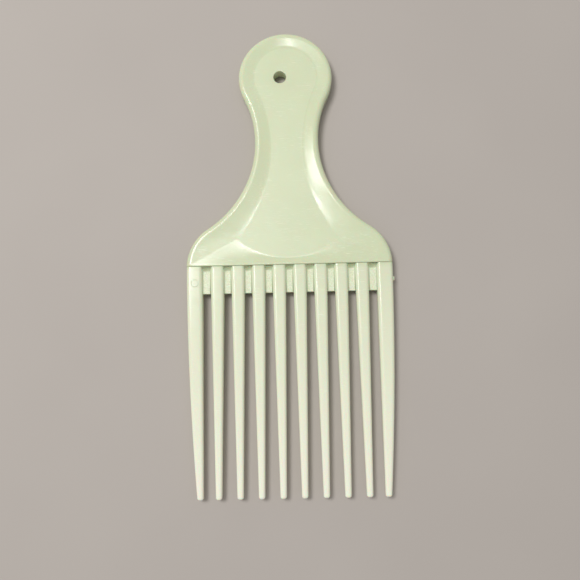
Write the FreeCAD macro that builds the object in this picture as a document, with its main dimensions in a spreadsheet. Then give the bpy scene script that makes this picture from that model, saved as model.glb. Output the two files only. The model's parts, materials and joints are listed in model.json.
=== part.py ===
"""A moulded hair pick: a round-ended handle, ten tapered teeth and the webs between their roots.

X runs across the teeth, Y from the tips to the hanging end and Z out of the front face.
The origin is under the middle of the pick, on the plane that its back rim lies on.
Front and back are alike, so every section is even about the mid plane.
"""
import FreeCAD, Part
import math
import os

import Sketcher

# Driving dimensions in millimetres. A name that ends in share is a fraction, and a count has no unit.
SIZES = {
    "overall_length": 175.0,
    "body_width": 76.2,
    "handle_thickness": 5.8,
    "head_radius": 18.0,
    "neck_radius": 40.0,
    "waist_width": 24.1,
    "shoulder_radius": 17.0,
    "edge_radius": 1.7,
    "rim_land": 0.3,
    "dish_depth": 0.6,
    "dish_head_radius": 12.3,
    "dish_side_radius": 55.0,
    "dish_waist_width": 12.6,
    "dish_bottom_radius": 29.5,
    "dish_bottom_margin": 2.4,
    "hole_diameter": 4.8,
    "hole_offset": 2.05,
    "tooth_count": 10,
    "tooth_root_gap": 2.42,
    "tooth_root_thickness": 5.0,
    "tooth_root_corner": 1.3,
    "tooth_tip_width": 2.3,
    "tooth_tip_corner_share": 0.42,
    "tooth_tip_round_share": 0.36,
    "outer_root_width": 6.0,
    "outer_root_gap": 2.83,
    "outer_bow": 0.8,
    "web_height": 10.0,
    "web_thickness": 2.5,
    "web_ramp_height": 1.9,
    "web_ramp_thickness": 4.4,
    "cut_overrun": 2.0,
}

# Places that follow from the driving dimensions, each worked out from the sheet and the places above it.
PLACES = {
    "mid_z": "Sizes.handle_thickness / 2",
    "front_floor_z": "Sizes.handle_thickness - Sizes.dish_depth",
    "half_width": "Sizes.body_width / 2",
    "tip_y": "-Sizes.overall_length / 2",
    "head_y": "Sizes.overall_length / 2 - Sizes.head_radius",
    "neck_x": "Sizes.waist_width / 2 + Sizes.neck_radius",
    "neck_y": "head_y - sqrt((Sizes.head_radius + Sizes.neck_radius)^2 - neck_x^2)",
    "shoulder_x": "half_width - Sizes.shoulder_radius",
    "shoulder_reach": "Sizes.neck_radius + Sizes.shoulder_radius",
    "ledge_y": "neck_y - sqrt(shoulder_reach^2 - (neck_x - shoulder_x)^2)",
    "flare_y": "neck_y - (neck_y - ledge_y) * Sizes.neck_radius / shoulder_reach",
    "rim_inset": "Sizes.edge_radius + Sizes.rim_land",
    "rim_bottom_y": "ledge_y + Sizes.rim_land",
    "dish_side_x": "Sizes.dish_waist_width / 2 + Sizes.dish_side_radius",
    "dish_side_reach": "Sizes.dish_head_radius + Sizes.dish_side_radius",
    "dish_side_y": "head_y - sqrt(dish_side_reach^2 - dish_side_x^2)",
    "dish_flare_x": "dish_side_x - sqrt(Sizes.dish_side_radius^2 - (flare_y - dish_side_y)^2)",
    "dish_bottom_y": "ledge_y + Sizes.dish_bottom_margin + Sizes.dish_bottom_radius",
    "head_share": "Sizes.head_radius / (Sizes.head_radius + Sizes.neck_radius)",
    "end_split_y": "head_y - (head_y - neck_y) * head_share",
    "shoulder_split_y": "(neck_y + ledge_y) / 2",
    "outer_inner_x": "half_width - Sizes.outer_root_width",
    "outer_root_x": "half_width - Sizes.outer_root_width / 2",
    "outer_tip_x": "outer_inner_x + Sizes.tooth_tip_width",
    "outer_middle_x": "(half_width + outer_tip_x) / 2 + Sizes.outer_bow",
    "inner_span": "2 * (outer_inner_x - Sizes.outer_root_gap) + Sizes.tooth_root_gap",
    "tooth_pitch": "inner_span / (Sizes.tooth_count - 2)",
    "tooth_root_width": "tooth_pitch - Sizes.tooth_root_gap",
    "middle_y": "(ledge_y + tip_y) / 2",
    "middle_thickness": "(Sizes.tooth_root_thickness + Sizes.tooth_tip_width) / 2",
    "tip_corner": "Sizes.tooth_tip_width * Sizes.tooth_tip_corner_share",
    "tip_round": "Sizes.tooth_tip_width * Sizes.tooth_tip_round_share",
    "middle_corner": "(Sizes.tooth_root_corner + tip_corner) / 2",
    "web_ramp_y": "ledge_y - Sizes.web_ramp_height",
    "web_end_y": "ledge_y - Sizes.web_height",
}

# The numbers by which a sketch knows a curve's two ends and centre, and its own origin and Y axis.
START, END, CENTRE = range(1, 4)
ORIGIN, Y_AXIS = range(-1, -3, -1)


def write_sizes(doc):
    """A sheet with the driving dimensions."""
    sheet = doc.addObject("Spreadsheet::Sheet", "Sizes")
    for row, (alias, size) in enumerate(SIZES.items(), start=1):
        sheet.set(f"A{row}", alias)
        sheet.set(f"B{row}", str(size))
        sheet.setAlias(f"B{row}", alias)
    doc.recompute()


def write_places(doc):
    """A set of variables with the places that follow from the sheet."""
    places = doc.addObject("App::VarSet", "Places")
    for name, expression in PLACES.items():
        places.addProperty("App::PropertyFloat", name)
        places.setExpression(name, expression)
    doc.recompute()
    return places


doc = FreeCAD.newDocument("hair_pick")
write_sizes(doc)
places = write_places(doc)


def size_of(expression):
    """The present value of an expression on the sheet and the places."""
    return float(places.evalExpression(expression))


def point(x, y):
    """A point of a sketch, given by two expressions."""
    return FreeCAD.Vector(size_of(x), size_of(y), 0)


def towards(first, second, reach):
    """The point at a given reach from the first point, on the way to the second."""
    return first + (second - first).normalize() * reach


def mirrored(place):
    """The same point on the other side of the Y axis."""
    return FreeCAD.Vector(-place.x, place.y, 0)


def add_sketch(body, name, role, offset):
    """A sketch on one of the body's own origin planes, moved along the plane's normal."""
    sketch = body.newObject("Sketcher::SketchObject", name)
    plane = next(item for item in body.Origin.OriginFeatures if item.Role == role)
    sketch.AttachmentSupport = [(plane, "")]
    sketch.MapMode = "FlatFace"
    sketch.setExpression("AttachmentOffset.Base.z", offset)
    return sketch


def add_line(sketch, start, end):
    return sketch.addGeometry(Part.LineSegment(start, end))


def add_arc(sketch, centre, start, end):
    """An arc drawn anticlockwise about its centre."""
    circle = Part.Circle(centre, FreeCAD.Vector(0, 0, 1), (start - centre).Length)
    first, last = [math.atan2(place.y - centre.y, place.x - centre.x) for place in (start, end)]
    return sketch.addGeometry(Part.ArcOfCircle(circle, first, last))


def tie(sketch, kind, *where):
    sketch.addConstraint(Sketcher.Constraint(kind, *where))


def measure(sketch, kind, where, expression):
    """A dimension of a sketch, bound to an expression."""
    index = sketch.addConstraint(Sketcher.Constraint(kind, *where, size_of(expression)))
    sketch.setExpression(f"Constraints[{index}]", expression)


def set_x(sketch, curve, end, expression):
    measure(sketch, "DistanceX", (ORIGIN, START, curve, end), expression)


def set_y(sketch, curve, end, expression):
    measure(sketch, "DistanceY", (ORIGIN, START, curve, end), expression)


def set_radius(sketch, arc, expression):
    measure(sketch, "Radius", (arc,), expression)


def draw_bell(sketch, inset, bottom):
    """The handle's outline, moved inwards: head arc, hollow neck, round shoulder and straight bottom."""
    head_r = f"Sizes.head_radius - {inset}"
    neck_r = f"Sizes.neck_radius + {inset}"
    shoulder_r = f"Sizes.shoulder_radius - {inset}"
    head = point("0", "Places.head_y")
    neck = point("Places.neck_x", "Places.neck_y")
    shoulder = point("Places.shoulder_x", "Places.ledge_y")
    upper = towards(head, neck, size_of(head_r))
    lower = towards(neck, shoulder, size_of(neck_r))
    foot = point(f"Places.shoulder_x + sqrt(({shoulder_r})^2 - ({bottom} - Places.ledge_y)^2)", bottom)

    head_arc = add_arc(sketch, head, upper, mirrored(upper))
    right_neck = add_arc(sketch, neck, upper, lower)
    right_shoulder = add_arc(sketch, shoulder, foot, lower)
    left_neck = add_arc(sketch, mirrored(neck), mirrored(lower), mirrored(upper))
    left_shoulder = add_arc(sketch, mirrored(shoulder), mirrored(lower), mirrored(foot))
    bottom_line = add_line(sketch, mirrored(foot), foot)

    tie(sketch, "Tangent", head_arc, START, right_neck, START)
    tie(sketch, "Tangent", right_neck, END, right_shoulder, END)
    tie(sketch, "Coincident", right_shoulder, START, bottom_line, END)
    tie(sketch, "Coincident", bottom_line, START, left_shoulder, END)
    tie(sketch, "Tangent", left_shoulder, START, left_neck, START)
    tie(sketch, "Tangent", left_neck, END, head_arc, END)
    tie(sketch, "Horizontal", bottom_line)
    tie(sketch, "PointOnObject", head_arc, CENTRE, Y_AXIS)
    set_y(sketch, head_arc, CENTRE, "Places.head_y")
    set_y(sketch, bottom_line, START, bottom)
    set_radius(sketch, head_arc, head_r)
    for neck_arc, shoulder_arc, sign in ((right_neck, right_shoulder, ""), (left_neck, left_shoulder, "-")):
        set_x(sketch, neck_arc, CENTRE, f"{sign}Places.neck_x")
        set_x(sketch, shoulder_arc, CENTRE, f"{sign}Places.shoulder_x")
        set_radius(sketch, neck_arc, neck_r)
        set_radius(sketch, shoulder_arc, shoulder_r)


def draw_dish_floor(sketch):
    """The floor of the dish: a slimmer bell with a round bottom, cut in two where the shoulder begins."""
    side_r = size_of("Sizes.dish_side_radius")
    bottom_r = size_of("Sizes.dish_bottom_radius")
    head = point("0", "Places.head_y")
    side = point("Places.dish_side_x", "Places.dish_side_y")
    bottom = point("0", "Places.dish_bottom_y")
    upper = towards(head, side, size_of("Sizes.dish_head_radius"))
    split = point("Places.dish_flare_x", "Places.flare_y")
    apart = (side - bottom).Length
    along = (apart ** 2 + bottom_r ** 2 - side_r ** 2) / (2 * apart)
    across = math.sqrt(bottom_r ** 2 - along ** 2)
    way = (side - bottom).normalize()
    corner = bottom + way * along + FreeCAD.Vector(way.y, -way.x, 0) * across

    head_arc = add_arc(sketch, head, upper, mirrored(upper))
    right_side = add_arc(sketch, side, upper, split)
    right_flare = add_arc(sketch, side, split, corner)
    left_side = add_arc(sketch, mirrored(side), mirrored(split), mirrored(upper))
    left_flare = add_arc(sketch, mirrored(side), mirrored(corner), mirrored(split))
    bottom_arc = add_arc(sketch, bottom, mirrored(corner), corner)

    tie(sketch, "Tangent", head_arc, START, right_side, START)
    tie(sketch, "Coincident", right_side, END, right_flare, START)
    tie(sketch, "Coincident", right_side, CENTRE, right_flare, CENTRE)
    tie(sketch, "Coincident", right_flare, END, bottom_arc, END)
    tie(sketch, "Coincident", bottom_arc, START, left_flare, START)
    tie(sketch, "Coincident", left_flare, END, left_side, START)
    tie(sketch, "Coincident", left_flare, CENTRE, left_side, CENTRE)
    tie(sketch, "Tangent", left_side, END, head_arc, END)
    tie(sketch, "PointOnObject", head_arc, CENTRE, Y_AXIS)
    tie(sketch, "PointOnObject", bottom_arc, CENTRE, Y_AXIS)
    set_y(sketch, right_side, END, "Places.flare_y")
    set_y(sketch, left_side, START, "Places.flare_y")
    set_y(sketch, head_arc, CENTRE, "Places.head_y")
    set_y(sketch, bottom_arc, CENTRE, "Places.dish_bottom_y")
    set_x(sketch, right_side, CENTRE, "Places.dish_side_x")
    set_x(sketch, left_side, CENTRE, "-Places.dish_side_x")
    set_radius(sketch, head_arc, "Sizes.dish_head_radius")
    set_radius(sketch, right_side, "Sizes.dish_side_radius")
    set_radius(sketch, left_side, "Sizes.dish_side_radius")
    set_radius(sketch, bottom_arc, "Sizes.dish_bottom_radius")


def draw_polygon(sketch, corners):
    """A closed run of straight lines, with an expression for each corner's two places."""
    ends = [point(x, y) for x, y in corners]
    lines = [add_line(sketch, start, end) for start, end in zip(ends, ends[1:] + ends[:1])]
    for line, next_line in zip(lines, lines[1:] + lines[:1]):
        tie(sketch, "Coincident", line, END, next_line, START)
    for line, (x, y) in zip(lines, corners):
        set_x(sketch, line, START, x)
        set_y(sketch, line, START, y)


def draw_rounded_box(sketch, left, right, thickness, corner):
    """A tooth's section: a rectangle about the mid plane, with rounded corners."""
    low = f"Places.mid_z - {thickness} / 2"
    high = f"Places.mid_z + {thickness} / 2"
    first, last = f"{left} + {corner}", f"{right} - {corner}"
    lower, upper = f"{low} + {corner}", f"{high} - {corner}"
    bottom = add_line(sketch, point(first, low), point(last, low))
    right_side = add_line(sketch, point(right, lower), point(right, upper))
    top = add_line(sketch, point(last, high), point(first, high))
    left_side = add_line(sketch, point(left, upper), point(left, lower))
    sides = [bottom, right_side, top, left_side]
    rounds = [
        add_arc(sketch, point(last, lower), point(last, low), point(right, lower)),
        add_arc(sketch, point(last, upper), point(right, upper), point(last, high)),
        add_arc(sketch, point(first, upper), point(first, high), point(left, upper)),
        add_arc(sketch, point(first, lower), point(left, lower), point(first, low)),
    ]
    for line, arc, next_line in zip(sides, rounds, sides[1:] + sides[:1]):
        tie(sketch, "Tangent", line, END, arc, START)
        tie(sketch, "Tangent", arc, END, next_line, START)
    for arc in rounds[1:]:
        tie(sketch, "Equal", rounds[0], arc)
    set_radius(sketch, rounds[0], corner)
    tie(sketch, "Horizontal", bottom)
    tie(sketch, "Vertical", right_side)
    tie(sketch, "Horizontal", top)
    tie(sketch, "Vertical", left_side)
    set_x(sketch, left_side, START, left)
    set_x(sketch, right_side, START, right)
    set_y(sketch, bottom, START, low)
    set_y(sketch, top, START, high)


def edges_where(shape, wanted):
    """The names of the edges that a test accepts."""
    return [f"Edge{number}" for number, edge in enumerate(shape.Edges, start=1) if wanted(edge)]


def near(first, second):
    return math.isclose(first, second, abs_tol=1e-6)


def make_handle():
    """The whole handle: a bell-shaped plate with round edges, a dish in each face and the hanging hole."""
    body = doc.addObject("PartDesign::Body", "handle")
    outline = add_sketch(body, "handle_outline", "XY_Plane", "0")
    draw_bell(outline, "0", "Places.ledge_y")
    plate = body.newObject("PartDesign::Pad", "handle_plate")
    plate.Profile = outline
    plate.setExpression("Length", "Sizes.handle_thickness")
    doc.recompute()

    def on_rim(edge):
        level = all(near(end.Z, edge.Vertexes[0].Z) for end in edge.Vertexes)
        return level and isinstance(edge.Curve, Part.Circle)

    rounding = body.newObject("PartDesign::Fillet", "handle_rounding")
    rounding.Base = (plate, edges_where(plate.Shape, on_rim))
    rounding.setExpression("Radius", "Sizes.edge_radius")
    doc.recompute()
    for face, rim_z, floor_z in (
        ("front", "Sizes.handle_thickness", "Places.front_floor_z"),
        ("back", "0", "Sizes.dish_depth"),
    ):
        rim = add_sketch(body, f"{face}_dish_rim", "XY_Plane", rim_z)
        draw_bell(rim, "Places.rim_inset", "Places.rim_bottom_y")
        floor = add_sketch(body, f"{face}_dish_floor", "XY_Plane", floor_z)
        draw_dish_floor(floor)
        dish = body.newObject("PartDesign::SubtractiveLoft", f"{face}_dish")
        dish.Profile = rim
        dish.Sections = [floor]
        dish.Ruled = True
        doc.recompute()
    mouth = add_sketch(body, "hole_mouth", "XY_Plane", "Sizes.handle_thickness")
    centre = point("-Sizes.hole_offset", "Places.head_y")
    radius = size_of("Sizes.hole_diameter / 2")
    circle = mouth.addGeometry(Part.Circle(centre, FreeCAD.Vector(0, 0, 1), radius))
    set_x(mouth, circle, CENTRE, "-Sizes.hole_offset")
    set_y(mouth, circle, CENTRE, "Places.head_y")
    measure(mouth, "Diameter", (circle,), "Sizes.hole_diameter")
    hole = body.newObject("PartDesign::Pocket", "hanging_hole")
    hole.Profile = mouth
    hole.setExpression("Length", "Sizes.handle_thickness")
    doc.recompute()
    return body


def cut_handle(handle, label, low, high):
    """The stretch of the handle between two places along Y."""
    zone = doc.addObject("Part::Box", f"{label}_zone")
    zone.setExpression("Length", "Sizes.body_width + 2 * Sizes.cut_overrun")
    zone.setExpression("Width", f"({high}) - ({low})")
    zone.setExpression("Height", "Sizes.handle_thickness + 2 * Sizes.cut_overrun")
    zone.setExpression("Placement.Base.x", "-Places.half_width - Sizes.cut_overrun")
    zone.setExpression("Placement.Base.y", low)
    zone.setExpression("Placement.Base.z", "-Sizes.cut_overrun")
    stretch = doc.addObject("Part::Common", label)
    stretch.Base = handle
    stretch.Tool = zone
    return stretch


def tooth_sections(number, count):
    """The places of a tooth's two sides, its thickness and its corner at each of its sections."""
    root = ("-Places.ledge_y", "Sizes.tooth_root_thickness", "Sizes.tooth_root_corner")
    middle = ("-Places.middle_y", "Places.middle_thickness", "Places.middle_corner")
    tip = ("-Places.tip_y", "Sizes.tooth_tip_width", "Places.tip_corner")
    if number == 1:
        return [
            ("-Places.half_width", "-Places.outer_inner_x", *root),
            ("-Places.outer_middle_x", "-Places.outer_inner_x", *middle),
            ("-Places.outer_tip_x", "-Places.outer_inner_x", *tip),
        ]
    if number == count:
        return [
            ("Places.outer_inner_x", "Places.half_width", *root),
            ("Places.outer_inner_x", "Places.outer_middle_x", *middle),
            ("Places.outer_inner_x", "Places.outer_tip_x", *tip),
        ]
    centre = tooth_centre(number, count)
    return [
        (f"{centre} - {width} / 2", f"{centre} + {width} / 2", *station)
        for width, station in (("Places.tooth_root_width", root), ("Sizes.tooth_tip_width", tip))
    ]


def tooth_centre(number, count):
    """The middle of a tooth's root."""
    if number == 1:
        return "-Places.outer_root_x"
    if number == count:
        return "Places.outer_root_x"
    return f"({number} - (Sizes.tooth_count + 1) / 2) * Places.tooth_pitch"


def make_tooth(number, count):
    """A tooth that tapers from the ledge to a rounded tip. The outer two bow out on one side."""
    label = f"tooth_{number:02d}"
    body = doc.addObject("PartDesign::Body", label)
    sketches = []
    for left, right, offset, thickness, corner in tooth_sections(number, count):
        sketch = add_sketch(body, f"{label}_section_{len(sketches) + 1}", "XZ_Plane", offset)
        draw_rounded_box(sketch, left, right, thickness, corner)
        sketches.append(sketch)
    shaft = body.newObject("PartDesign::AdditiveLoft", f"{label}_shaft")
    shaft.Profile = sketches[0]
    shaft.Sections = sketches[1:]
    doc.recompute()
    tip_y = size_of("Places.tip_y")

    def on_tip(edge):
        return all(near(end.Y, tip_y) for end in edge.Vertexes)

    rounding = body.newObject("PartDesign::Fillet", f"{label}_rounding")
    rounding.Base = (shaft, edges_where(shaft.Shape, on_tip))
    rounding.setExpression("Radius", "Places.tip_round")
    return body


def make_web(number, count, left_tooth, right_tooth):
    """The thin panel that ties two teeth together below the ledge, fitted to their flanks."""
    label = f"web_{number:02d}"
    start = tooth_centre(number, count)
    end = tooth_centre(number + 1, count)
    blank = doc.addObject("PartDesign::Body", f"{label}_blank")
    profile = add_sketch(blank, f"{label}_profile", "YZ_Plane", start)
    draw_polygon(profile, [
        ("Places.ledge_y", "Places.mid_z - Sizes.web_ramp_thickness / 2"),
        ("Places.ledge_y", "Places.mid_z + Sizes.web_ramp_thickness / 2"),
        ("Places.web_ramp_y", "Places.mid_z + Sizes.web_thickness / 2"),
        ("Places.web_end_y", "Places.mid_z + Sizes.web_thickness / 2"),
        ("Places.web_end_y", "Places.mid_z - Sizes.web_thickness / 2"),
        ("Places.web_ramp_y", "Places.mid_z - Sizes.web_thickness / 2"),
    ])
    slab = blank.newObject("PartDesign::Pad", f"{label}_slab")
    slab.Profile = profile
    slab.setExpression("Length", f"({end}) - ({start})")
    doc.recompute()
    trimmed = doc.addObject("Part::Cut", f"{label}_trimmed")
    trimmed.Base = blank
    trimmed.Tool = left_tooth
    web = doc.addObject("Part::Cut", label)
    web.Base = trimmed
    web.Tool = right_tooth
    return web


def build():
    """Every piece of the pick, in the order in which the report lists them."""
    handle = make_handle()
    count = int(size_of("Sizes.tooth_count"))
    beyond_head = "Sizes.overall_length / 2 + Sizes.cut_overrun"
    below_ledge = "Places.ledge_y - Sizes.cut_overrun"
    pieces = [
        cut_handle(handle, "handle_end", "Places.end_split_y", beyond_head),
        cut_handle(handle, "handle_neck", "Places.shoulder_split_y", "Places.end_split_y"),
        cut_handle(handle, "shoulder", below_ledge, "Places.shoulder_split_y"),
    ]
    teeth = [make_tooth(number, count) for number in range(1, count + 1)]
    webs = [
        make_web(number, count, left_tooth, right_tooth)
        for number, (left_tooth, right_tooth) in enumerate(zip(teeth, teeth[1:]), start=1)
    ]
    doc.recompute()
    return pieces + teeth + webs


def check(pieces):
    """Stop if any object failed, or a piece isn't one valid solid."""
    for item in doc.Objects:
        if "Invalid" in item.State or "Error" in item.State:
            raise RuntimeError(f"{item.Label} failed: {item.State}")
    for piece in pieces:
        shape = piece.Shape
        if shape.isNull() or not shape.isValid() or len(shape.Solids) != 1:
            raise RuntimeError(f"{piece.Label} isn't one valid solid")


def export(pieces):
    os.makedirs("parts", exist_ok=True)
    for piece in pieces:
        piece.Shape.exportStep(os.path.join("parts", f"{piece.Label}.step"))
        box = piece.Shape.optimalBoundingBox()
        reach = f"{box.XLength:.2f} x {box.YLength:.2f} x {box.ZLength:.2f} mm"
        print(f"{piece.Label}: {reach}, {piece.Shape.Volume:.1f} mm3")


pieces = build()
check(pieces)
export(pieces)
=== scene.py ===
# %% [markdown]
# # A moulded hair pick
#
# The pick is one injection moulding of pale green, slightly milky plastic. It has a bell-shaped handle with
# a shallow dish in each face, ten tapered teeth, and small webs that tie the roots of the teeth together.
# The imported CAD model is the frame: it says where everything is, so its boxes are read first and every
# mesh below is placed from them. Blender works in metres here, and sizes are written in millimetres.

# %% Load the frame
import json
import math

import bmesh
import bpy
from mathutils import Matrix, Vector


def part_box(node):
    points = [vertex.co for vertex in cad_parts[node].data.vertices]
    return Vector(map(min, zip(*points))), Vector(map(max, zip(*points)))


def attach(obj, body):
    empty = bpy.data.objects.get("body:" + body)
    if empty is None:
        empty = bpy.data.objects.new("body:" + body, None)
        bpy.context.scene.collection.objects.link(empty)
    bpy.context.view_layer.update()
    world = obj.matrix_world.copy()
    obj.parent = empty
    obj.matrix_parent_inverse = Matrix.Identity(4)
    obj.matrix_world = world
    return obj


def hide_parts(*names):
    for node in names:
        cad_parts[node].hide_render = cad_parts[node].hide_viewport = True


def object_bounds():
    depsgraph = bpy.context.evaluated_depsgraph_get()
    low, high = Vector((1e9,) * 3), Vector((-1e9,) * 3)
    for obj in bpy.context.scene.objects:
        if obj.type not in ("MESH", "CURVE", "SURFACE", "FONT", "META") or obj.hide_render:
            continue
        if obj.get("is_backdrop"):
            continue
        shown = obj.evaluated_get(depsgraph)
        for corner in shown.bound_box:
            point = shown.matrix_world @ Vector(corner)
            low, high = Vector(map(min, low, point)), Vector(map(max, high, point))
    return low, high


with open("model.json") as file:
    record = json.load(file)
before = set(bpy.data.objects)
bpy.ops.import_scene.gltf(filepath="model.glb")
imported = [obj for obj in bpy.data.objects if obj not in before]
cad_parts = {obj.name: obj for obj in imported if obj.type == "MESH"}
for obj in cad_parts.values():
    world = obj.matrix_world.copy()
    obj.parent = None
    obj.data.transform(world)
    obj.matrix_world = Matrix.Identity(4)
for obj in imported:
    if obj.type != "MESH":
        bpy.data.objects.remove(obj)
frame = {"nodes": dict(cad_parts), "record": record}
cad_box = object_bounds()

MM = 0.001


def in_mm(*lengths):
    """Lengths as text, in millimetres."""
    return " x ".join(f"{length / MM:.2f}" for length in lengths)


print("CAD box:", in_mm(*(cad_box[1] - cad_box[0])), "mm, nodes:", len(frame["nodes"]))

# %% [markdown]
# ## Camera
#
# The photograph looks down on the pick from a little below its teeth, with the camera held about 22 cm
# above the cloth, so the teeth come out slightly larger than the handle. A camera that copies the place and
# the lens gives the same slight taper. It is aimed with three axes of its own, because the picture is also
# turned a degree or so, which a track constraint can't do.

# %% Camera
CAMERA_PLACE = Vector((3.7, -43.7, 223.4)) * MM
CAMERA_TARGET = Vector((0.03, -13.1, 2.9)) * MM
PICTURE_TURN = math.radians(-1.27)
SENSOR_WIDTH = 36.0
LENS = 37.33

camera_data = bpy.data.cameras.new("camera")
camera_data.sensor_width = SENSOR_WIDTH
camera_data.lens = LENS
camera = bpy.data.objects.new("camera", camera_data)
bpy.context.scene.collection.objects.link(camera)
backwards = (CAMERA_PLACE - CAMERA_TARGET).normalized()
picture_up = Vector((-math.sin(PICTURE_TURN), math.cos(PICTURE_TURN), 0))
across = picture_up.cross(backwards).normalized()
aim = Matrix((across, backwards.cross(across), backwards)).transposed()
camera.matrix_world = Matrix.Translation(CAMERA_PLACE) @ aim.to_4x4()
bpy.context.scene.camera = camera
bpy.context.scene.view_settings.view_transform = "Standard"
print("Camera", in_mm((CAMERA_PLACE - CAMERA_TARGET).length), "mm from the pick")

# %% [markdown]
# ## Shader maths
#
# Every finish below is a small calculation: a noise, a threshold, a product of masks. Node by node that
# is hard to read, so one class wraps a socket and lets Python's own signs add the Math nodes. Its `node`
# method makes any other node from a type, the settings that must come first, and its sockets' values.

# %% A socket that Python can calculate with


class Signal:
    """One output of a material's nodes."""

    def __init__(self, tree, socket=None):
        self.tree = tree
        self.socket = socket

    def node(self, kind, settings, sockets, output=0):
        """A new node of the same tree, and one of its outputs."""
        made = self.tree.nodes.new(kind)
        for name, value in settings.items():
            setattr(made, name, value)
        for name, value in sockets.items():
            self.feed(made.inputs[name], value)
        return Signal(self.tree, made.outputs[output])

    def feed(self, socket, value):
        """Link a signal to a socket, or set a plain value there."""
        if isinstance(value, Signal):
            self.tree.links.new(value.socket, socket)
        else:
            socket.default_value = value

    def math(self, operation, *terms):
        return self.node("ShaderNodeMath", {"operation": operation}, dict(enumerate(terms)))

    def __add__(self, other):
        return self.math("ADD", self, other)

    __radd__ = __add__

    def __sub__(self, other):
        return self.math("SUBTRACT", self, other)

    def __rsub__(self, other):
        return self.math("SUBTRACT", other, self)

    def __mul__(self, other):
        return self.math("MULTIPLY", self, other)

    __rmul__ = __mul__


def new_material(name, **constants):
    """A material with a principled shader, and the start of its nodes."""
    material = bpy.data.materials.new(name)
    material.use_nodes = True
    shader = material.node_tree.nodes["Principled BSDF"]
    for socket, value in constants.items():
        shader.inputs[socket.replace("_", " ")].default_value = value
    return material, shader, Signal(material.node_tree)


def mix_colours(nodes, share, first, second):
    """A colour between two others."""
    colour_sockets = {0: share, 6: first, 7: second}
    return nodes.node("ShaderNodeMix", {"data_type": "RGBA"}, colour_sockets, 2)


def noise(nodes, where, period, detail=2.0, roughness=0.5):
    """Cloudy noise whose patches are about one period across."""
    sockets = {"Vector": where, "Scale": 1 / period, "Detail": detail, "Roughness": roughness}
    return nodes.node("ShaderNodeTexNoise", {}, sockets, "Fac")


def remap(nodes, signal, low, high, start, end):
    """A signal stretched from one range to another, and held at its ends."""
    sockets = {0: signal, 1: low, 2: high, 3: start, 4: end}
    return nodes.node("ShaderNodeMapRange", {}, sockets)


print("Shader helpers ready")

# %% [markdown]
# ## Glossy plastic
#
# The handle and the teeth are polished in the mould. The plastic is a pale yellowish green with a little
# milky depth. The teeth get a painted glow for the light that shines through thin plastic: the tint steps
# up at the roots of the teeth and rises to their tips. A plain colour would look like paint, so there are
# also a soft drift of colour, specks of dust and patches of short, paler scratches. The walls of the dish
# stay glossy and draw crisp lines of light, while its flat floor is rubbed duller, because a glossy floor
# would mirror the lamps as broad spots.

# %% Glossy plastic
PLASTIC = (0.675, 0.735, 0.50, 1)
PLASTIC_DEEP = (0.63, 0.69, 0.46, 1)
# A paler tint: painted glow in the thin teeth, painted glints on the webs, and the colour of scratches.
PLASTIC_PALE_AND_LIT = (0.94, 0.95, 0.78, 1)
PLASTIC_DUST = (0.30, 0.30, 0.22, 1)
MILKY = {"IOR": 1.49, "Subsurface_Weight": 0.25, "Subsurface_Scale": 1.5 * MM}

LEDGE_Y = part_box("shoulder")[0].y
TOOTH_TIP_Y = cad_box[0].y
MID_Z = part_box("handle_end")[1].z / 2
DISH_DEPTH = 0.6 * MM
FLOOR_Z = MID_Z - DISH_DEPTH

DRIFT_PERIOD = 14 * MM
DUST_SPACING = 11 * MM
WEAR_PERIOD = 3 * MM
RIPPLE_PERIOD = 5 * MM
GRAIN_PERIOD = 0.35 * MM
RELIEF = 0.02 * MM
SCRATCH_WIDTH = 0.16 * MM
SCRATCH_STRETCH = 0.045
SCRATCH_PATCH = 9 * MM
SCRATCH_TURNS = (0.06, -0.5)


def scratches(nodes, where, turn):
    """Short hairlines that run across the pick, turned by an angle."""
    stretch = {"Vector": where, "Rotation": (0, 0, turn), "Scale": (SCRATCH_STRETCH, 1, 1)}
    lines = noise(nodes, nodes.node("ShaderNodeMapping", {}, stretch), SCRATCH_WIDTH, 1.0)
    patches = remap(nodes, noise(nodes, where, SCRATCH_PATCH), 0.42, 0.62, 0.0, 1.0)
    return patches * remap(nodes, lines, 0.66, 0.74, 0.0, 1.0)


def painted_thin_glow(nodes, where):
    """How thin the plastic is, as a share of painted glow: none in the handle, more in the teeth and most
    at their tips.
    """
    y = nodes.node("ShaderNodeSeparateXYZ", {}, {0: where}, "Y")
    step = remap(nodes, y, LEDGE_Y + 0.5 * MM, LEDGE_Y - 2 * MM, 0.0, 0.3)
    return step + remap(nodes, y, LEDGE_Y, TOOTH_TIP_Y, 0.0, 0.7)


def height_off_middle(nodes, where):
    """The distance from the mid plane, towards the front or the back."""
    z = nodes.node("ShaderNodeSeparateXYZ", {}, {0: where}, "Z")
    return nodes.math("ABSOLUTE", z - MID_Z)


def worn_floor(nodes, where):
    """One on the flat floor of either dish, and none elsewhere."""
    y = nodes.node("ShaderNodeSeparateXYZ", {}, {0: where}, "Y")
    height = height_off_middle(nodes, where)
    in_handle = remap(nodes, y, LEDGE_Y, LEDGE_Y + 1 * MM, 0.0, 1.0)
    above = remap(nodes, height, FLOOR_Z - 0.02 * MM, FLOOR_Z - 0.005 * MM, 0.0, 1.0)
    below = remap(nodes, height, FLOOR_Z + 0.001 * MM, FLOOR_Z + 0.015 * MM, 1.0, 0.0)
    return in_handle * above * below


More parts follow.
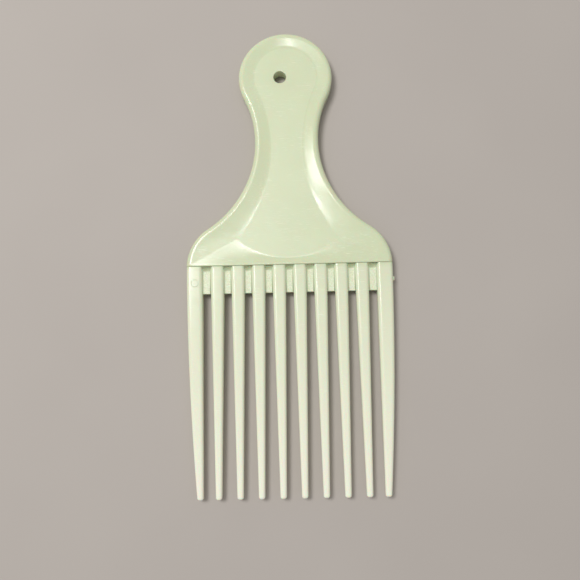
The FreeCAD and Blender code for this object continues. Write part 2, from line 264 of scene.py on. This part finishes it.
def polished_plastic():
    material, shader, nodes = new_material("polished_plastic", **MILKY)
    where = nodes.node("ShaderNodeTexCoord", {}, {}, "Object")
    drift = remap(nodes, noise(nodes, where, DRIFT_PERIOD), 0.35, 0.65, 0.0, 1.0)
    body = mix_colours(nodes, 0.4 * drift, PLASTIC, PLASTIC_DEEP)
    # Painted glow: the teeth turn paler from their roots to their tips, for light shining through the thin
    # plastic.
    body = mix_colours(nodes, painted_thin_glow(nodes, where), body, PLASTIC_PALE_AND_LIT)
    cells = {"Vector": where, "Scale": 1 / DUST_SPACING}
    from_speck = nodes.node("ShaderNodeTexVoronoi", {}, cells, "Distance")
    dust = remap(nodes, from_speck, 0.010, 0.022, 0.7, 0.0)
    hairlines = sum(scratches(nodes, where, turn) for turn in SCRATCH_TURNS)
    body = mix_colours(nodes, 0.5 * hairlines, body, PLASTIC_PALE_AND_LIT)
    nodes.feed(shader.inputs["Base Color"], mix_colours(nodes, dust, body, PLASTIC_DUST))
    wear = remap(nodes, noise(nodes, where, WEAR_PERIOD, 4.0, 0.6), 0.3, 0.7, 0.13, 0.2)
    rubbed = 0.2 * worn_floor(nodes, where)
    nodes.feed(shader.inputs["Roughness"], wear + rubbed + 0.15 * hairlines)
    ripple = noise(nodes, where, RIPPLE_PERIOD)
    grain = noise(nodes, where, GRAIN_PERIOD)
    height = 0.8 * ripple + 0.1 * grain - 0.15 * hairlines
    relief = {"Strength": 1.0, "Distance": RELIEF, "Height": height}
    nodes.feed(shader.inputs["Normal"], nodes.node("ShaderNodeBump", {}, relief))
    return material


GLOSSY = polished_plastic()
print("Made", GLOSSY.name)

# %% [markdown]
# ## Matte plastic
#
# The panels of the webs were left rough in the mould, so they sparkle with a fine grain. The same plastic
# with a rougher surface and a grain of about half a millimetre gives that, and the grain also mixes paler
# spots into the colour as painted glints. The sloping sides of a web stand further from the mid plane than
# its panel, so their height finds them, and they get painted shade: a darker tint that frames the panel as
# the shade in its deep corners does.

# %% Matte plastic
# Painted shade on the sloping sides of the webs.
PLASTIC_PAINTED_SHADE = (0.47, 0.53, 0.32, 1)
WEB_THICKNESS = 2.5 * MM
SLOPE_START = WEB_THICKNESS / 2 + 0.03 * MM
SLOPE_END = WEB_THICKNESS / 2 + 0.25 * MM
WEB_GRAIN_PERIOD = 0.45 * MM
WEB_RELIEF = 0.12 * MM


def matte_plastic():
    material, shader, nodes = new_material("matte_plastic", **MILKY)
    where = nodes.node("ShaderNodeTexCoord", {}, {}, "Object")
    grain = noise(nodes, where, WEB_GRAIN_PERIOD, 3.0, 0.6)
    # Painted glints: the grain mixes paler spots into the panel's colour, where the rough texture would
    # sparkle.
    painted_glints = remap(nodes, grain, 0.35, 0.65, 0.0, 0.6)
    panel = mix_colours(nodes, painted_glints, PLASTIC, PLASTIC_PALE_AND_LIT)
    # Painted shade: the slopes around the panel get a darker tint, as if the deep corners were in shade.
    slope = remap(nodes, height_off_middle(nodes, where), SLOPE_START, SLOPE_END, 0.0, 1.0)
    nodes.feed(shader.inputs["Base Color"], mix_colours(nodes, slope, panel, PLASTIC_PAINTED_SHADE))
    nodes.feed(shader.inputs["Roughness"], remap(nodes, grain, 0.35, 0.65, 0.5, 0.3))
    relief = {"Strength": 1.0, "Distance": WEB_RELIEF, "Height": grain}
    nodes.feed(shader.inputs["Normal"], nodes.node("ShaderNodeBump", {}, relief))
    return material


MATTE = matte_plastic()
print("Made", MATTE.name)

# %% [markdown]
# ## The handle's outline
#
# Seen from above the handle is a chain of arcs: a round head, a hollow neck on each side, round shoulders
# and a straight ledge. Spinning one vertex about each arc's centre in turn draws exactly that, with as
# many steps as each arc needs. Every later loop of the handle has the same count of vertices, so that
# neighbouring loops can be bridged into clean rows of quads.

# %% Handle sizes
head_low, head_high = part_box("handle_end")

HEAD_R = (head_high.x - head_low.x) / 2
NECK_R = 40 * MM
SHOULDER_R = 17 * MM
WAIST = 24.1 * MM
HALF_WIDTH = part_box("shoulder")[1].x

HEAD = Vector((0, head_high.y - HEAD_R, 0))
neck_x = WAIST / 2 + NECK_R
NECK = Vector((neck_x, HEAD.y - math.sqrt((HEAD_R + NECK_R) ** 2 - neck_x ** 2), 0))
SHOULDER = Vector((HALF_WIDTH - SHOULDER_R, LEDGE_Y, 0))

HEAD_STEPS = 72
NECK_STEPS = 36
SHOULDER_STEPS = 20
LEDGE_STEPS = 60

print("Head radius", in_mm(HEAD_R), "mm, ledge at", in_mm(LEDGE_Y), "mm, mid plane", in_mm(MID_Z), "mm")

# %% Loops of the outline


def heading(centre, place):
    """The direction of a place from a centre, as an angle from the X axis."""
    return math.atan2(place.y - centre.y, place.x - centre.x)


def mirrored(place):
    return Vector((-place.x, place.y, place.z))


def swing(mesh, vertex, centre, angle, steps):
    """Spin a vertex about a centre and give the vertex at the far end of the arc."""
    made = bmesh.ops.spin(mesh, geom=[vertex], cent=centre, axis=(0, 0, 1), angle=angle, steps=steps)
    return next(item for item in made["geom_last"] if isinstance(item, bmesh.types.BMVert))


def bell_loop(mesh, inset, lift, z):
    """The handle's outline moved inwards by an inset, with its bottom lifted off the ledge."""
    known = set(mesh.edges)
    reach = SHOULDER_R - inset
    rise = math.asin(lift / reach)
    shoulder_turn = heading(SHOULDER, NECK) - rise
    neck_turn = (SHOULDER - NECK).angle(HEAD - NECK)
    head_turn = math.pi - 2 * heading(HEAD, NECK)
    foot = mesh.verts.new((SHOULDER.x + reach * math.cos(rise), LEDGE_Y + lift, z))
    end = swing(mesh, foot, SHOULDER, shoulder_turn, SHOULDER_STEPS)
    end = swing(mesh, end, NECK, -neck_turn, NECK_STEPS)
    end = swing(mesh, end, HEAD, head_turn, HEAD_STEPS)
    end = swing(mesh, end, mirrored(NECK), -neck_turn, NECK_STEPS)
    end = swing(mesh, end, mirrored(SHOULDER), shoulder_turn, SHOULDER_STEPS)
    ledge = mesh.edges.new((end, foot))
    bmesh.ops.subdivide_edges(mesh, edges=[ledge], cuts=LEDGE_STEPS - 1)
    return [edge for edge in mesh.edges if edge not in known]


print("Neck centre", in_mm(*NECK.xy), "mm, shoulder centre", in_mm(*SHOULDER.xy), "mm")

# %% [markdown]
# ## The dish
#
# Each face of the handle is hollowed by a fraction of a millimetre. The floor of the hollow is a slimmer
# bell with a rounded bottom, and its sloping walls rise to a narrow rim. Its loop is spun from arcs too,
# and starts at the corner where the side and the bottom of the floor cross.

# %% Loops of the dish floor
DISH_HEAD_R = 12.3 * MM
DISH_SIDE_R = 55 * MM
DISH_WAIST = 12.6 * MM
DISH_BOTTOM_R = 29.5 * MM
DISH_BOTTOM_MARGIN = 2.4 * MM

dish_side_x = DISH_WAIST / 2 + DISH_SIDE_R
dish_drop = math.sqrt((DISH_HEAD_R + DISH_SIDE_R) ** 2 - dish_side_x ** 2)
DISH_SIDE = Vector((dish_side_x, HEAD.y - dish_drop, 0))
DISH_BOTTOM = Vector((0, LEDGE_Y + DISH_BOTTOM_MARGIN + DISH_BOTTOM_R, 0))
FLARE_Y = NECK.lerp(SHOULDER, NECK_R / (NECK_R + SHOULDER_R)).y


def dish_corner(side_r, bottom_r):
    """Where the right side of the floor crosses its round bottom."""
    way = DISH_SIDE - DISH_BOTTOM
    along = (way.length_squared + bottom_r ** 2 - side_r ** 2) / (2 * way.length)
    aside = math.sqrt(bottom_r ** 2 - along ** 2)
    way.normalize()
    return DISH_BOTTOM + way * along + Vector((way.y, -way.x, 0)) * aside


def dish_loop(mesh, inset, z):
    """The outline of the dish floor, moved inwards by an inset."""
    known = set(mesh.edges)
    side_r = DISH_SIDE_R + inset
    bottom_r = DISH_BOTTOM_R - inset
    corner = dish_corner(side_r, bottom_r)
    drop = DISH_SIDE.y - FLARE_Y
    flare = Vector((DISH_SIDE.x - math.sqrt(side_r ** 2 - drop ** 2), FLARE_Y, 0))
    flare_turn = (corner - DISH_SIDE).angle(flare - DISH_SIDE)
    side_turn = (flare - DISH_SIDE).angle(HEAD - DISH_SIDE)
    head_turn = math.pi - 2 * heading(HEAD, DISH_SIDE)
    bottom_turn = (corner - DISH_BOTTOM).angle(mirrored(corner) - DISH_BOTTOM)
    start = mesh.verts.new((corner.x, corner.y, z))
    end = swing(mesh, start, DISH_SIDE, -flare_turn, SHOULDER_STEPS)
    end = swing(mesh, end, DISH_SIDE, -side_turn, NECK_STEPS)
    end = swing(mesh, end, HEAD, head_turn, HEAD_STEPS)
    end = swing(mesh, end, mirrored(DISH_SIDE), -side_turn, NECK_STEPS)
    end = swing(mesh, end, mirrored(DISH_SIDE), -flare_turn, SHOULDER_STEPS)
    end = swing(mesh, end, DISH_BOTTOM, bottom_turn, LEDGE_STEPS)
    bmesh.ops.weld_verts(mesh, targetmap={end: start})
    return [edge for edge in mesh.edges if edge not in known]


print("Dish floor corner at", in_mm(*dish_corner(DISH_SIDE_R, DISH_BOTTOM_R).xy), "mm")

# %% [markdown]
# ## The handle
#
# Half of the handle is built from its mid plane up to the floor of the front dish: straight side, quarter
# round, narrow rim, sloping wall and a band of the floor. A polished mould has no sharp crease at the foot
# of the wall, and the soft bend there is what catches the light. A bevel would overlap itself in the sharp
# corners of the floor, so the rows beside the crease are divided and their heights smoothed instead. Front
# and back are guessed to be alike, so the other half is a mirror image that meets it at the mid plane.

# %% Handle mesh
EDGE_R = 1.7 * MM
EDGE_STEPS = 8
RIM_LAND = 0.3 * MM
LEDGE_ROUND = 0.25 * MM
BAND_WIDTH = 2.4 * MM
BAND_ROWS = 6
WALL_ROWS = 14
SMOOTHINGS = 8
SMOOTH_SHARE = 0.5
MERGE = 0.001 * MM


def bridge(mesh, first, second):
    """The row of faces between two loops of edges."""
    bmesh.ops.bridge_loops(mesh, edges=first + second)


def handle_half(mesh):
    """The front half of the handle up to a band of the floor, with its mid plane at zero."""
    loops = [bell_loop(mesh, 0, 0, 0)]
    for step in range(EDGE_STEPS + 1):
        turn = math.pi / 2 * step / EDGE_STEPS
        inset = EDGE_R * (1 - math.cos(turn))
        lift = LEDGE_ROUND * (1 - math.cos(turn))
        loops.append(bell_loop(mesh, inset, lift, MID_Z - EDGE_R * (1 - math.sin(turn))))
    loops.append(bell_loop(mesh, EDGE_R + RIM_LAND, LEDGE_ROUND + RIM_LAND, MID_Z))
    loops.append(dish_loop(mesh, 0, FLOOR_Z))
    loops.append(dish_loop(mesh, BAND_WIDTH, FLOOR_Z))
    for first, second in zip(loops, loops[1:]):
        bridge(mesh, first, second)
    return loops[-3:]


def ends_of(edges):
    return {end for edge in edges for end in edge.verts}


def divide_row(mesh, first, second, rows):
    """Divide the row of faces between two loops into more rows."""
    starts, ends = ends_of(first), ends_of(second)
    between = [
        edge for start in starts for edge in start.link_edges if edge.other_vert(start) in ends - starts
    ]
    bmesh.ops.subdivide_edges(mesh, edges=between, cuts=rows - 1, use_grid_fill=True)


def soften_dish(mesh, rim, floor, band):
    """Let the height of the dish wall flow into the floor, as in a polished mould."""
    earlier = len(mesh.verts)
    divide_row(mesh, rim, floor, WALL_ROWS)
    divide_row(mesh, floor, band, BAND_ROWS)
    dish = mesh.verts[:][earlier:] + list(ends_of(floor))
    for _ in range(SMOOTHINGS):
        bmesh.ops.smooth_vert(mesh, verts=dish, factor=SMOOTH_SHARE, use_axis_z=True)
    print("Softened", len(dish), "vertices of the dish")


handle_mesh = bmesh.new()
rim, floor, band = handle_half(handle_mesh)
soften_dish(handle_mesh, rim, floor, band)

# %% [markdown]
# ## The hanging hole
#
# The hole is a little left of the middle of the head. Its wall is bridged between circles, with a small
# rounded mouth, and the floor is then filled between the mouth and the band that was left around it.

# %% Hanging hole and floor
HOLE_ROUND = 0.2 * MM
HOLE_STEPS = 48

hole = next(mount for mount in frame["record"]["mounts"] if mount["name"] == "hanging_hole")
HOLE_R = hole["dims"]["r_mm"] * MM
HOLE_PLACE = Vector(hole["pos_m"])


def hole_loop(mesh, radius, z):
    """A circle about the hole's axis."""
    known = set(mesh.edges)
    place = Matrix.Translation((HOLE_PLACE.x, HOLE_PLACE.y, z))
    bmesh.ops.create_circle(mesh, segments=HOLE_STEPS, radius=radius, matrix=place)
    return [edge for edge in mesh.edges if edge not in known]


mouth = hole_loop(handle_mesh, HOLE_R + HOLE_ROUND, FLOOR_Z)
throat = hole_loop(handle_mesh, HOLE_R, FLOOR_Z - HOLE_ROUND)
middle = hole_loop(handle_mesh, HOLE_R, 0)
bridge(handle_mesh, mouth, throat)
bridge(handle_mesh, throat, middle)
open_band = [edge for edge in handle_mesh.edges if edge.is_boundary and edge.verts[0].co.z > MERGE]
bmesh.ops.triangle_fill(handle_mesh, use_beauty=True, edges=open_band)
print("Hole radius", in_mm(HOLE_R), "mm, floor filled between", len(open_band), "edges")

# %% Mirror the half and finish the handle


def all_of(mesh):
    return mesh.verts[:] + mesh.edges[:] + mesh.faces[:]


def new_piece(name, mesh, material, slot, *nodes):
    """Finish a mesh as a piece of the pick that stands for some CAD nodes."""
    bmesh.ops.recalc_face_normals(mesh, faces=mesh.faces)
    for face in mesh.faces:
        face.smooth = True
    data = bpy.data.meshes.new(name)
    mesh.to_mesh(data)
    mesh.free()
    data.materials.append(material)
    piece = bpy.data.objects.new(name, data)
    bpy.context.scene.collection.objects.link(piece)
    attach(piece, "root")
    if nodes:
        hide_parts(*nodes)
    even_normals = piece.modifiers.new("even_normals", "WEIGHTED_NORMAL")
    even_normals.keep_sharp = True
    return piece


bmesh.ops.mirror(handle_mesh, geom=all_of(handle_mesh), axis="Z", merge_dist=MERGE)
bmesh.ops.translate(handle_mesh, vec=(0, 0, MID_Z), verts=handle_mesh.verts)
open_edges = sum(edge.is_boundary for edge in handle_mesh.edges)
print("Handle:", len(handle_mesh.faces), "faces,", open_edges, "open edges")
new_piece("handle", handle_mesh, GLOSSY, "glossy_plastic", "handle_end", "handle_neck", "shoulder")

# %% [markdown]
# ## The teeth
#
# A tooth is a rounded bar at its root and nearly round at its tip. A square with bevelled corners gives
# each of the two sections, and bridging them gives the taper. The root's edge is kept sharp, or its flat
# end would bend the shading of the shaft. The outer two teeth are wider and bow outwards on their outer
# side, so after the shaft is divided along its length those vertices are moved out by a parabola.

# %% Tooth sections
TOOTH_CORNER = 1.3 * MM
TIP_WIDTH = 2.3 * MM
TIP_CORNER_SHARE = 0.42
TIP_ROUND_SHARE = 0.36
OUTER_BOW = 0.8 * MM
CORNER_STEPS = 6
TIP_STEPS = 5
SHAFT_ROWS = 24

ACROSS_TOOTH = Matrix.Rotation(math.pi / 2, 3, "X")


def round_off(mesh, geom, radius, steps, affect="EDGES"):
    """Round some edges, or the corners of a face."""
    bmesh.ops.bevel(
        mesh, geom=geom, offset=radius, offset_type="OFFSET", segments=steps,
        profile=0.5, affect=affect, material=-1,
    )


def tooth_section(mesh, left, right, thickness, corner, y):
    """A rounded rectangle across a tooth."""
    corners = bmesh.ops.create_grid(mesh, x_segments=1, y_segments=1, size=0.5)["verts"]
    bmesh.ops.scale(mesh, vec=(right - left, thickness, 1), verts=corners)
    bmesh.ops.rotate(mesh, matrix=ACROSS_TOOTH, verts=corners)
    bmesh.ops.translate(mesh, vec=((left + right) / 2, y, MID_Z), verts=corners)
    round_off(mesh, corners, corner, CORNER_STEPS, "VERTICES")
    return next(face for face in mesh.faces if all(abs(end.co.y - y) < MERGE for end in face.verts))


def make_tooth(number, count):
    """A tooth from the ledge to its rounded tip."""
    name = f"tooth_{number:02d}"
    low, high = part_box(name)
    width = high.x - low.x
    side = (number == count) - (number == 1)
    inner = (low.x + high.x) / 2
    if side:
        inner = low.x if side > 0 else high.x
        tip_ends = sorted((inner, inner + side * TIP_WIDTH))
    else:
        tip_ends = (inner - TIP_WIDTH / 2, inner + TIP_WIDTH / 2)
    mesh = bmesh.new()
    root_edges = tooth_section(mesh, low.x, high.x, high.z - low.z, TOOTH_CORNER, high.y).edges[:]
    tip_edges = tooth_section(mesh, *tip_ends, TIP_WIDTH, TIP_WIDTH * TIP_CORNER_SHARE, low.y).edges[:]
    bridge(mesh, root_edges, tip_edges)
    for edge in root_edges:
        edge.smooth = False
    round_off(mesh, tip_edges, TIP_WIDTH * TIP_ROUND_SHARE, TIP_STEPS)
    rows = [edge for edge in mesh.edges if edge.calc_length() > (high.y - low.y) / 2]
    bmesh.ops.subdivide_edges(mesh, edges=rows, cuts=SHAFT_ROWS - 1, use_grid_fill=True)
    if side:
        for end in mesh.verts:
            share = (high.y - end.co.y) / (high.y - low.y)
            reach = width + (TIP_WIDTH - width) * share
            out = abs(end.co.x - inner) / reach
            end.co.x += side * out * OUTER_BOW * 4 * share * (1 - share)
    return new_piece("moulded_" + name, mesh, GLOSSY, "glossy_plastic", name)


TOOTH_COUNT = sum(name.startswith("tooth_") for name in frame["nodes"])
teeth = [make_tooth(number, TOOTH_COUNT) for number in range(1, TOOTH_COUNT + 1)]
print("Teeth:", len(teeth), "with", len(teeth[0].data.polygons), "faces each")

# %% [markdown]
# ## The webs
#
# A web is a thin panel between two teeth, thickened by a ramp at the ledge and by a slope beside each
# tooth. A cube scaled to its place is cut by three planes, the ledge end and the sides are spread to their
# thicknesses, and the edges of the panel are rounded. The sides run a little into the teeth, so that no
# gap shows.

# %% Webs
WEB_RAMP_HEIGHT = 1.9 * MM
WEB_OVERLAP = 0.5 * MM
WEB_ROUND = 0.2 * MM
WEB_ROUND_STEPS = 3
WEB_SIDE = 0.8 * MM
WEB_SIDE_THICKNESS = 3.9 * MM


def make_web(name):
    """A panel with a ramp at the ledge and a slope at each side."""
    low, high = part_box(name)
    middle = (low + high) / 2
    mesh = bmesh.new()
    cube = bmesh.ops.create_cube(mesh, size=1)["verts"]
    size = (high.x - low.x + 2 * WEB_OVERLAP, high.y - low.y, WEB_THICKNESS)
    bmesh.ops.scale(mesh, vec=size, verts=cube)
    bmesh.ops.translate(mesh, vec=middle, verts=cube)
    ramp_y = high.y - WEB_RAMP_HEIGHT
    cuts = [((0, ramp_y, 0), (0, 1, 0))]
    cuts += [((x, 0, 0), (1, 0, 0)) for x in (low.x + WEB_SIDE, high.x - WEB_SIDE)]
    for place, normal in cuts:
        bmesh.ops.bisect_plane(mesh, geom=all_of(mesh), plane_co=place, plane_no=normal)
    about_middle = Matrix.Translation((0, 0, -MID_Z))
    top = [end for end in mesh.verts if end.co.y > high.y - MERGE]
    spread = (high.z - low.z) / WEB_THICKNESS
    bmesh.ops.scale(mesh, vec=(1, 1, spread), space=about_middle, verts=top)
    sides = [end for end in mesh.verts if abs(end.co.x - middle.x) > size[0] / 2 - MERGE]
    sides = [end for end in sides if end not in top]
    spread = WEB_SIDE_THICKNESS / WEB_THICKNESS
    bmesh.ops.scale(mesh, vec=(1, 1, spread), space=about_middle, verts=sides)
    panel = [end for end in mesh.verts if abs(end.co.z - MID_Z) < WEB_THICKNESS / 2 + MERGE]
    rounded = [edge for edge in mesh.edges if all(end in panel for end in edge.verts)]
    rounded = [edge for edge in rounded if abs(edge.verts[0].co.z - edge.verts[1].co.z) < MERGE]
    round_off(mesh, rounded, WEB_ROUND, WEB_ROUND_STEPS)
    return new_piece("moulded_" + name, mesh, MATTE, "textured_plastic", name)


webs = [make_web(name) for name in sorted(frame["nodes"]) if name.startswith("web_")]
print("Webs:", len(webs))

# %% [markdown]
# ## Marks of the mould
#
# Two small marks show how the pick was made. An ejector pin left a faint ring on the first tooth, and
# the plastic came in through a gate near the root of the last tooth, where a trimmed nub still stands out.
# The ring is a small circle spun about the pin's axis, and the nub is a cube with rounded edges.

# %% Ejector ring and gate nub
PIN_PLACE = Vector((-35.0, -10.0, 0)) * MM
PIN_R = 1.3 * MM
PIN_RING_R = 0.2 * MM
PIN_SINK_SHARE = 0.5
PIN_STEPS = 48
PIN_RING_STEPS = 10
GATE_Y = -9.8 * MM
GATE_SIZE = Vector((1.6, 1.6, 1.8)) * MM
GATE_PROUD = 0.55 * MM
GATE_ROUND = 0.3 * MM
GATE_STEPS = 4


def make_pin_ring():
    """A ring half sunk in the sloping top of the first tooth."""
    low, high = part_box("tooth_01")
    share = (high.y - PIN_PLACE.y) / (high.y - low.y)
    top = high.z - share * (high.z - low.z - TIP_WIDTH) / 2
    mesh = bmesh.new()
    upright = Matrix.Translation((PIN_R, 0, 0)) @ Matrix.Rotation(math.pi / 2, 4, "X")
    bmesh.ops.create_circle(mesh, segments=PIN_RING_STEPS, radius=PIN_RING_R, matrix=upright)
    bmesh.ops.spin(
        mesh, geom=mesh.verts[:] + mesh.edges[:], cent=(0, 0, 0), axis=(0, 0, 1),
        angle=2 * math.pi, steps=PIN_STEPS, use_merge=True,
    )
    place = (PIN_PLACE.x, PIN_PLACE.y, top - PIN_SINK_SHARE * PIN_RING_R)
    bmesh.ops.translate(mesh, vec=place, verts=mesh.verts)
    return new_piece("ejector_ring", mesh, GLOSSY, "glossy_plastic")


def make_gate_nub():
    """A rounded nub that stands out of the last tooth's outer side."""
    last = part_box(f"tooth_{TOOTH_COUNT:02d}")[1]
    mesh = bmesh.new()
    cube = bmesh.ops.create_cube(mesh, size=1)["verts"]
    bmesh.ops.scale(mesh, vec=GATE_SIZE, verts=cube)
    place = (last.x + GATE_PROUD - GATE_SIZE.x / 2, GATE_Y, MID_Z)
    bmesh.ops.translate(mesh, vec=place, verts=cube)
    round_off(mesh, mesh.edges[:], GATE_ROUND, GATE_STEPS)
    return new_piece("gate_nub", mesh, GLOSSY, "glossy_plastic")


marks = [make_pin_ring(), make_gate_nub()]
print("Marks:", ", ".join(mark.name for mark in marks))

# %% [markdown]
# ## Floor and light
#
# The pick lies on a plain pale floor. One broad lamp, high on the left, gives the soft shadow to the right.
# A smaller lamp beyond the head makes the crisp lights at the corners of the dish, and the world fills in.

# %% Floor and light
FLOOR_SIZE = 3.0
FLOOR_DARK = (0.45, 0.41, 0.375, 1)
FLOOR_PALE = (0.49, 0.45, 0.41, 1)
FLOOR_DRIFT = 60 * MM
LAMP_DISTANCE = 1.0
KEY_DIRECTION = (-0.36, 0.22, 0.91)
KEY_SIZE = 0.35
KEY_POWER = 5.8
SMALL_DIRECTION = (-0.05, 0.25, 0.97)
SMALL_SIZE = 0.07
SMALL_POWER = 0.55
WORLD_COLOUR = (1.0, 0.98, 0.97, 1)
WORLD_STRENGTH = 0.41


def make_floor():
    material, shader, nodes = new_material("floor", Roughness=0.8)
    where = nodes.node("ShaderNodeTexCoord", {}, {}, "Object")
    drift = noise(nodes, where, FLOOR_DRIFT)
    colour = mix_colours(nodes, drift, FLOOR_DARK, FLOOR_PALE)
    nodes.feed(shader.inputs["Base Color"], colour)
    mesh = bmesh.new()
    bmesh.ops.create_grid(mesh, x_segments=1, y_segments=1, size=FLOOR_SIZE / 2)
    data = bpy.data.meshes.new("floor")
    mesh.to_mesh(data)
    mesh.free()
    data.materials.append(material)
    made = bpy.data.objects.new("floor", data)
    bpy.context.scene.collection.objects.link(made)
    made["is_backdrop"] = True


def area_light(name, direction, size, power):
    """A square lamp that faces the origin."""
    data = bpy.data.lights.new(name, "AREA")
    data.size = size
    data.energy = power
    lamp = bpy.data.objects.new(name, data)
    away = Vector(direction).normalized()
    lamp.location = away * LAMP_DISTANCE
    lamp.rotation_mode = "QUATERNION"
    lamp.rotation_quaternion = away.to_track_quat("Z", "Y")
    bpy.context.scene.collection.objects.link(lamp)


make_floor()
area_light("key_light", KEY_DIRECTION, KEY_SIZE, KEY_POWER)
area_light("small_light", SMALL_DIRECTION, SMALL_SIZE, SMALL_POWER)
world = bpy.data.worlds.new("world")
world.use_nodes = True
background = world.node_tree.nodes["Background"]
background.inputs["Color"].default_value = WORLD_COLOUR
background.inputs["Strength"].default_value = WORLD_STRENGTH
bpy.context.scene.world = world
print("Floor and lamps placed")

# %% [markdown]
# ## Size and finish
#
# The CAD model's box is printed at the start, and the visual model's box is printed here, before the scene
# ends. The visual model has to stay in the CAD model's box.

# %% Finish
visual_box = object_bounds()
print("Visual box:", in_mm(*(visual_box[1] - visual_box[0])), "mm")
